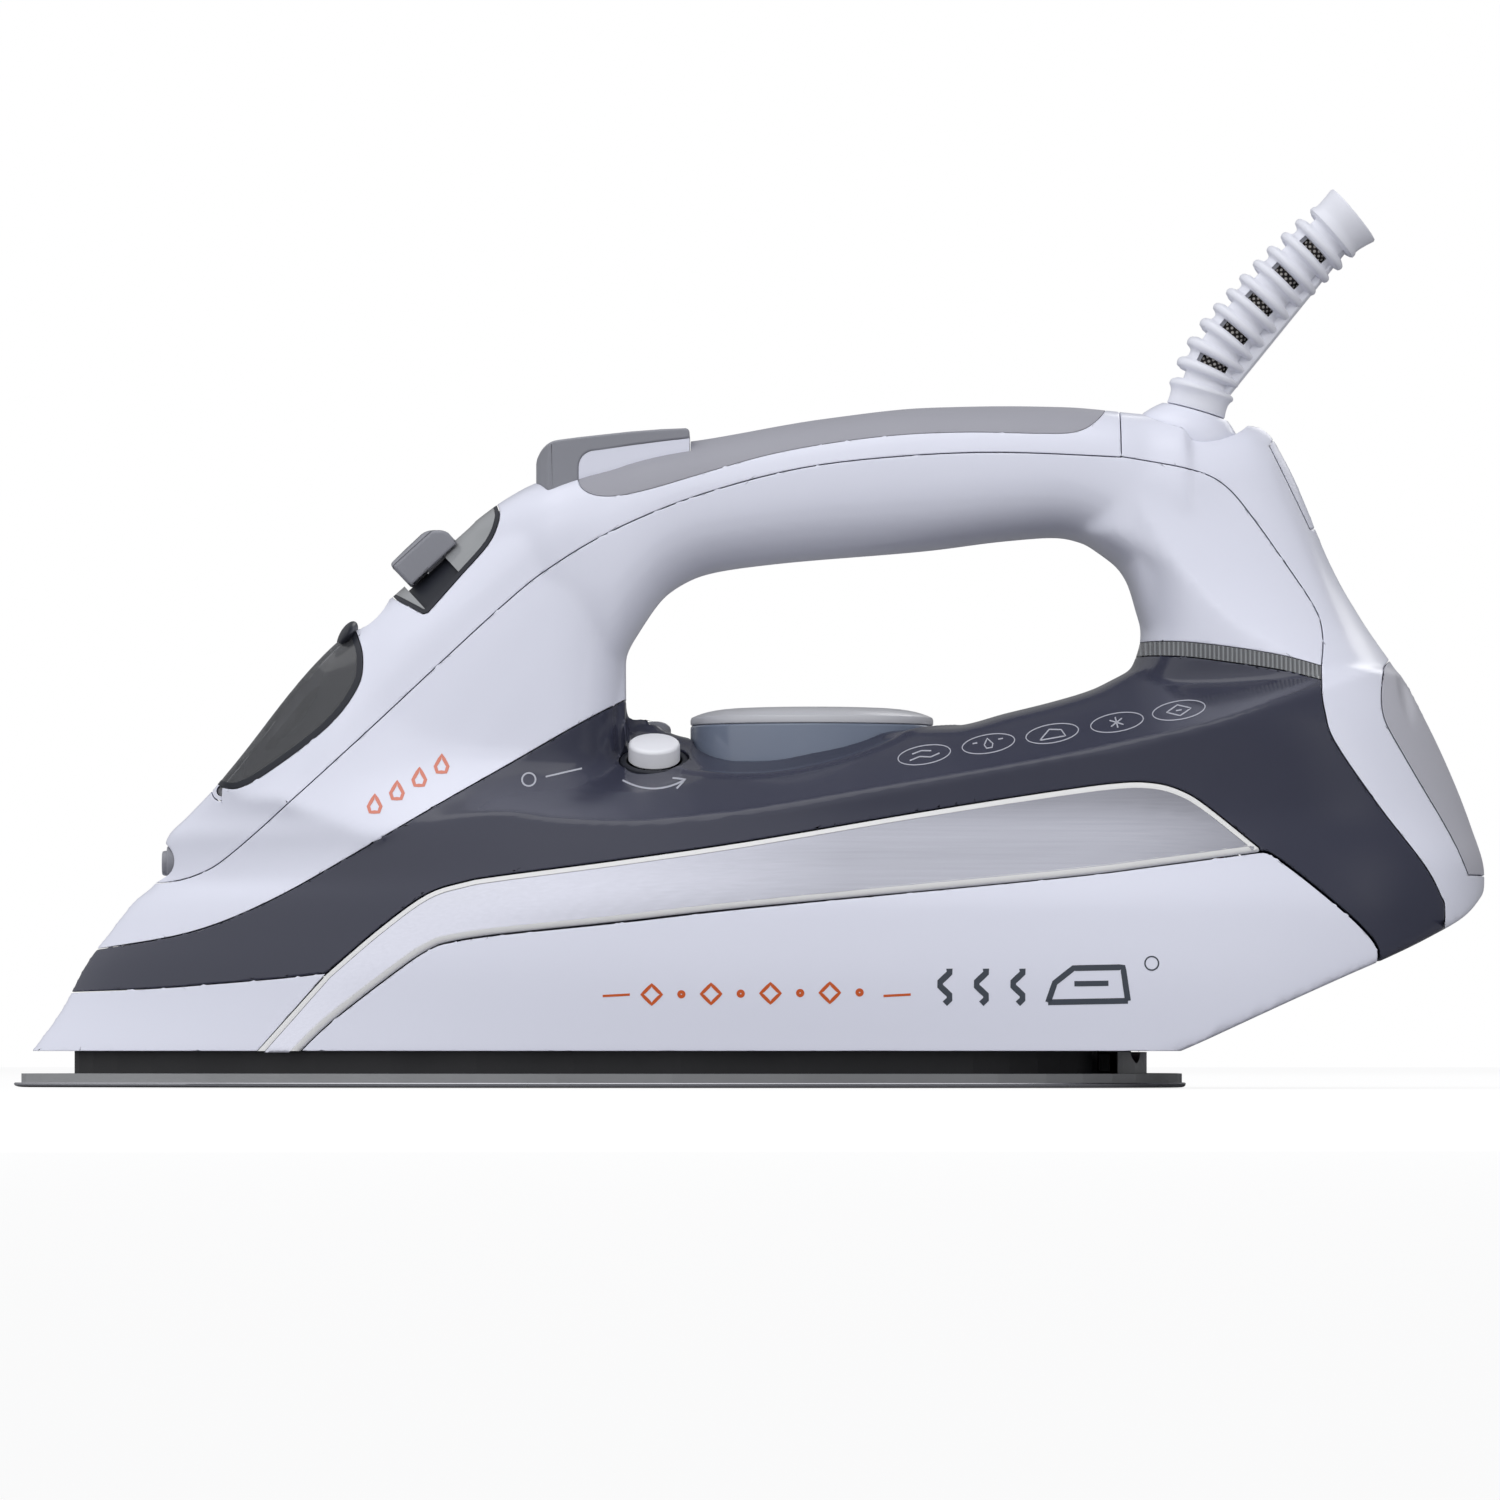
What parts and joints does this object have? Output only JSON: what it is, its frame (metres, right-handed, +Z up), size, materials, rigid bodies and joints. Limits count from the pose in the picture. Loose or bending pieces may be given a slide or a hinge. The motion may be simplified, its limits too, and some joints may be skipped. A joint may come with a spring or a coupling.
{
  "type": "steam iron",
  "caption": "Steam iron with a flat soleplate, a smoked water tank under an open handle, a round dial on the deck, thumb buttons, a filler flap and a swivelling cord guard.",
  "frame": {"origin": "middle of the overall length and width, on the plane of the soleplate's ironing face", "axes": "+X towards the heel, -X towards the nose, +Z up through the handle, -Y towards the left side"},
  "size_m": [0.308, 0.118, 0.1894],
  "materials": {
    "steel_plate": "polished ironing face",
    "cast_aluminium": "as cast",
    "bright_steel": "plain",
    "seal_rubber": "silicone",
    "black_plastic": "heat resistant moulding",
    "white_plastic": "gloss moulding, faint lavender white",
    "chrome_trim": "bright plated",
    "smoked_plastic": "smoked translucent moulding",
    "grey_rubber": "soft matt grip",
    "grey_plastic": "satin moulding",
    "dial_blue": "blue grey translucent",
    "light_grey": "satin moulding",
    "clear_lens": "ribbed clear moulding",
    "hose": "silicone",
    "braid": "textile braid over rubber"
  },
  "bodies": {
    "iron_body": {"soleplate": "steel_plate", "heater_casting": "cast_aluminium", "heating_element": "bright_steel", "chamber_gasket": "seal_rubber", "steam_chamber_cover": "cast_aluminium", "casting_screws": "bright_steel", "thermostat": "cast_aluminium", "thermal_fuse": "bright_steel", "heat_shield": "black_plastic", "nose_skirt": "white_plastic", "side_panel_left": "white_plastic", "side_panel_right": "white_plastic", "trim_left": "chrome_trim", "trim_right": "chrome_trim", "water_tank": "smoked_plastic", "valve_seal": "seal_rubber", "main_housing": "white_plastic", "top_cover": "white_plastic", "rear_cover": "white_plastic", "grip_insert": "grey_rubber", "heel_pad": "grey_rubber", "rear_plate": "white_plastic", "lens_strip": "clear_lens", "spray_pump": "light_grey", "steam_pump": "light_grey", "spray_spring": "bright_steel", "steam_spring": "bright_steel", "pump_hoses": "hose", "spray_nozzle": "grey_plastic", "slider_panel": "smoked_plastic", "filler_neck": "light_grey", "flap_pin": "bright_steel", "clean_spring": "bright_steel", "lock_spring": "bright_steel", "swivel_socket": "white_plastic", "cord_clamp": "light_grey", "terminal_block": "light_grey", "indicator_lamp": "clear_lens", "wires": "hose", "housing_screws": "bright_steel"},
    "dial": {"dial_shaft": "bright_steel", "temperature_dial": "dial_blue", "dial_cap": "light_grey"},
    "spray_key": {"spray_button": "grey_plastic", "spray_piston": "light_grey"},
    "steam_key": {"steam_button": "grey_plastic", "steam_piston": "light_grey"},
    "slider": {"steam_slider": "grey_plastic"},
    "valve": {"valve_rod": "bright_steel"},
    "flap": {"filler_flap": "smoked_plastic"},
    "clean_key": {"clean_button": "white_plastic"},
    "lock_key": {"lock_button": "grey_plastic"},
    "guard": {"cord_guard": "white_plastic", "swivel_ball": "white_plastic", "lead": "braid"}
  },
  "joints": [
    {"name": "dial_turn", "type": "hinge", "parent": "iron_body", "child": "dial", "pos_m": [0.013, 0, 0.07], "axis": [0, 0, 1], "range_deg": [0, 270]},
    {"name": "spray_press", "type": "slide", "parent": "iron_body", "child": "spray_key", "axis": [0, 0, -1], "range_m": [0, 0.003], "stiffness_N_per_m": 700, "springref_m": -0.002, "deforming": ["spray_spring"]},
    {"name": "steam_press", "type": "slide", "parent": "iron_body", "child": "steam_key", "axis": [0, 0, -1], "range_m": [0, 0.003], "stiffness_N_per_m": 700, "springref_m": -0.002, "deforming": ["steam_spring"]},
    {"name": "slider_move", "type": "slide", "parent": "iron_body", "child": "slider", "axis": [0.742, 0, 0.6704], "range_m": [0, 0.009]},
    {"name": "valve_lift", "type": "slide", "parent": "iron_body", "child": "valve", "axis": [0, 0, 1], "range_m": [0, 0.0009]},
    {"name": "flap_open", "type": "hinge", "parent": "iron_body", "child": "flap", "pos_m": [-0.1105, 0, 0.062], "axis": [0, -1, 0], "range_deg": [0, 75]},
    {"name": "clean_press", "type": "slide", "parent": "iron_body", "child": "clean_key", "axis": [0, 0.4067, -0.9135], "range_m": [0, 0.0025], "stiffness_N_per_m": 600, "springref_m": -0.002, "deforming": ["clean_spring"]},
    {"name": "lock_press", "type": "slide", "parent": "iron_body", "child": "lock_key", "axis": [0, -0.4067, -0.9135], "range_m": [0, 0.0025], "stiffness_N_per_m": 600, "springref_m": -0.002, "deforming": ["lock_spring"]},
    {"name": "guard_swivel", "type": "hinge", "parent": "iron_body", "child": "guard", "pos_m": [0.0935, 0, 0.1415], "axis": [0.2756, 0, 0.9613], "range_deg": [-180, 180]}
  ],
  "couplings": [
    {"joint": "valve_lift", "follows": "slider_move", "ratio": 0.1}
  ]
}
